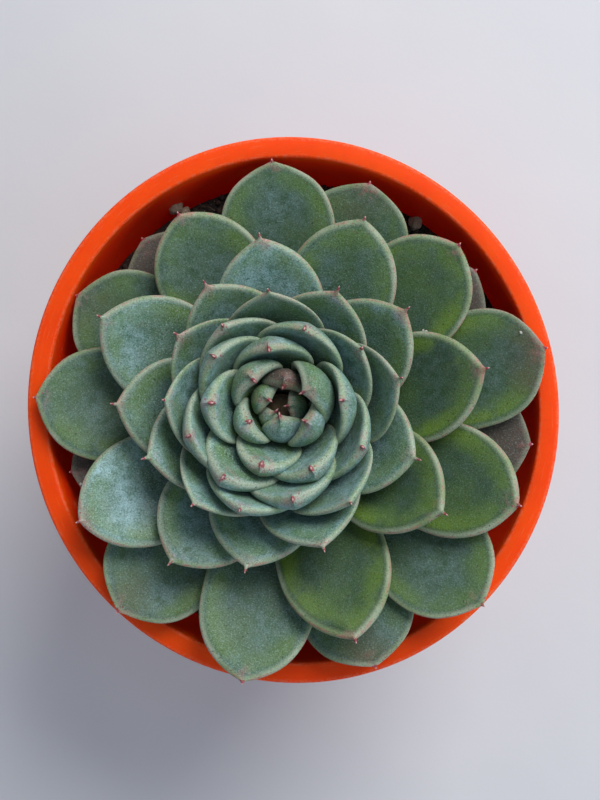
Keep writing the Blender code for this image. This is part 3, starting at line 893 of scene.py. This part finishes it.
def make_stones(material):
    """Larger pale lumps of pumice on the earth, at the back."""
    for name, spots in PUMICE.items():
        mesh = bmesh.new()
        for index, (x, y, size) in enumerate(spots):
            x, y, size = x * MM, y * MM, size * MM
            lump(mesh, (x, y, soil_level(x, y) + 0.8 * size), size, index + 0.3, 0.8, 3)
        lump_piece(name, mesh, material, smooth=True)


# ---------------------------------------------------------------- plant
def make_plant():
    """All leaves, and bark on the CAD stem. Returns the leaves."""
    skin = leaf_material()
    leaves = []
    for number in range(1, LEAVES + 1):
        leaf = make_leaf(number, f"leaf_{number:02d}_blade", skin)
        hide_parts(f"leaf_{number:02d}")
        leaves.append(leaf)
    for number in HEART_LEAVES:
        leaves.append(make_leaf(number, f"heart_leaf_{1 - number}", skin))
    for index, number in enumerate(LOW_LEAVES):
        leaves.append(make_leaf(number, f"low_leaf_{index + 1}", skin))
    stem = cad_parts["stem"]
    stem.data.materials.clear()
    stem.data.materials.append(stem_material())
    return leaves


def leaf_tree(leaf):
    """A search tree over a leaf's faces."""
    points = [vertex.co for vertex in leaf.data.vertices]
    return BVHTree.FromPolygons(points, [face.vertices for face in leaf.data.polygons])


def make_dust(leaves, material):
    """A few grains of grit lying on the leaves."""
    trees = [leaf_tree(leaf) for leaf in leaves]
    mesh = bmesh.new()
    for index, (x, y, size) in enumerate(LEAF_GRIT):
        above = Vector((x * MM, y * MM, 0.2))
        hits = [tree.ray_cast(above, Vector((0, 0, -1)))[0] for tree in trees]
        top = max(hit.z for hit in hits if hit is not None)
        lump(mesh, (x * MM, y * MM, top + 0.2 * size * MM), size * MM, index + 0.5, 0.8, 2)
    lump_piece("leaf_grit", mesh, material, smooth=False)


# ---------------------------------------------------------------- stage and camera
# The name, place, width, power and colour of each light.
LIGHTS = (
    ("key_light", (0.50, 0.85, 1.00), 0.8, 18.5, (1.0, 0.99, 0.98)),
    ("fill_light", (0.85, -0.35, 0.60), 0.7, 3.4, (0.72, 0.87, 1.0)),
)
SKY_COLOUR = (0.78, 0.86, 1.0, 1)
SKY_STRENGTH = 0.36
CAMERA_SPOT = (1.6 * MM, 2.4 * MM, 378 * MM)
CAMERA_LENS = 52.0
CAMERA_SENSOR = 36


def make_light(name, spot, size, power, colour):
    """A square light that faces the plant."""
    data = bpy.data.lights.new(name, "AREA")
    data.size = size
    data.energy = power
    data.color = colour
    light = bpy.data.objects.new(name, data)
    bpy.context.scene.collection.objects.link(light)
    light.location = spot
    light.rotation_euler = (Vector((0, 0, 0.1)) - light.location).to_track_quat("-Z", "Y").to_euler()


def make_stage():
    """The floor, the lights and the sky."""
    bpy.ops.mesh.primitive_plane_add(size=6)
    floor = bpy.context.object
    floor.name = "floor"
    floor.data.materials.append(floor_material())
    for light in LIGHTS:
        make_light(*light)
    world = bpy.data.worlds.new("studio")
    bpy.context.scene.world = world
    world.use_nodes = True
    background = world.node_tree.nodes["Background"]
    background.inputs["Color"].default_value = SKY_COLOUR
    background.inputs["Strength"].default_value = SKY_STRENGTH


def make_camera():
    """The camera, which looks straight down."""
    data = bpy.data.cameras.new("camera")
    data.sensor_width = CAMERA_SENSOR
    data.lens = CAMERA_LENS
    camera = bpy.data.objects.new("camera", data)
    camera.location = CAMERA_SPOT
    bpy.context.scene.collection.objects.link(camera)
    bpy.context.scene.camera = camera


# ---------------------------------------------------------------- all of it
make_camera()
make_stage()
bpy.context.scene.view_settings.view_transform = "Standard"
make_pot(pot_material())
make_soil(soil_material("earth", (0.012, 0.009, 0.007), (0.035, 0.022, 0.015), 0.5 * MM, 0.25))
make_crumbs(
    soil_material("crumb", (0.014, 0.010, 0.008), (0.05, 0.03, 0.02), 0.3 * MM, 0.2),
    soil_material("grain", (0.16, 0.12, 0.09), (0.30, 0.24, 0.18), 0.25 * MM, 0.3),
)
make_fibres(soil_material("fibre", (0.05, 0.03, 0.018), (0.14, 0.09, 0.05), 0.3 * MM))
make_stones(soil_material("pumice", (0.30, 0.21, 0.14), (0.42, 0.33, 0.25), 0.25 * MM, 0.4))
make_dust(make_plant(), soil_material("grit", (0.45, 0.42, 0.38), (0.45, 0.44, 0.42), 0.1 * MM, 0.3))

bpy.context.view_layer.update()
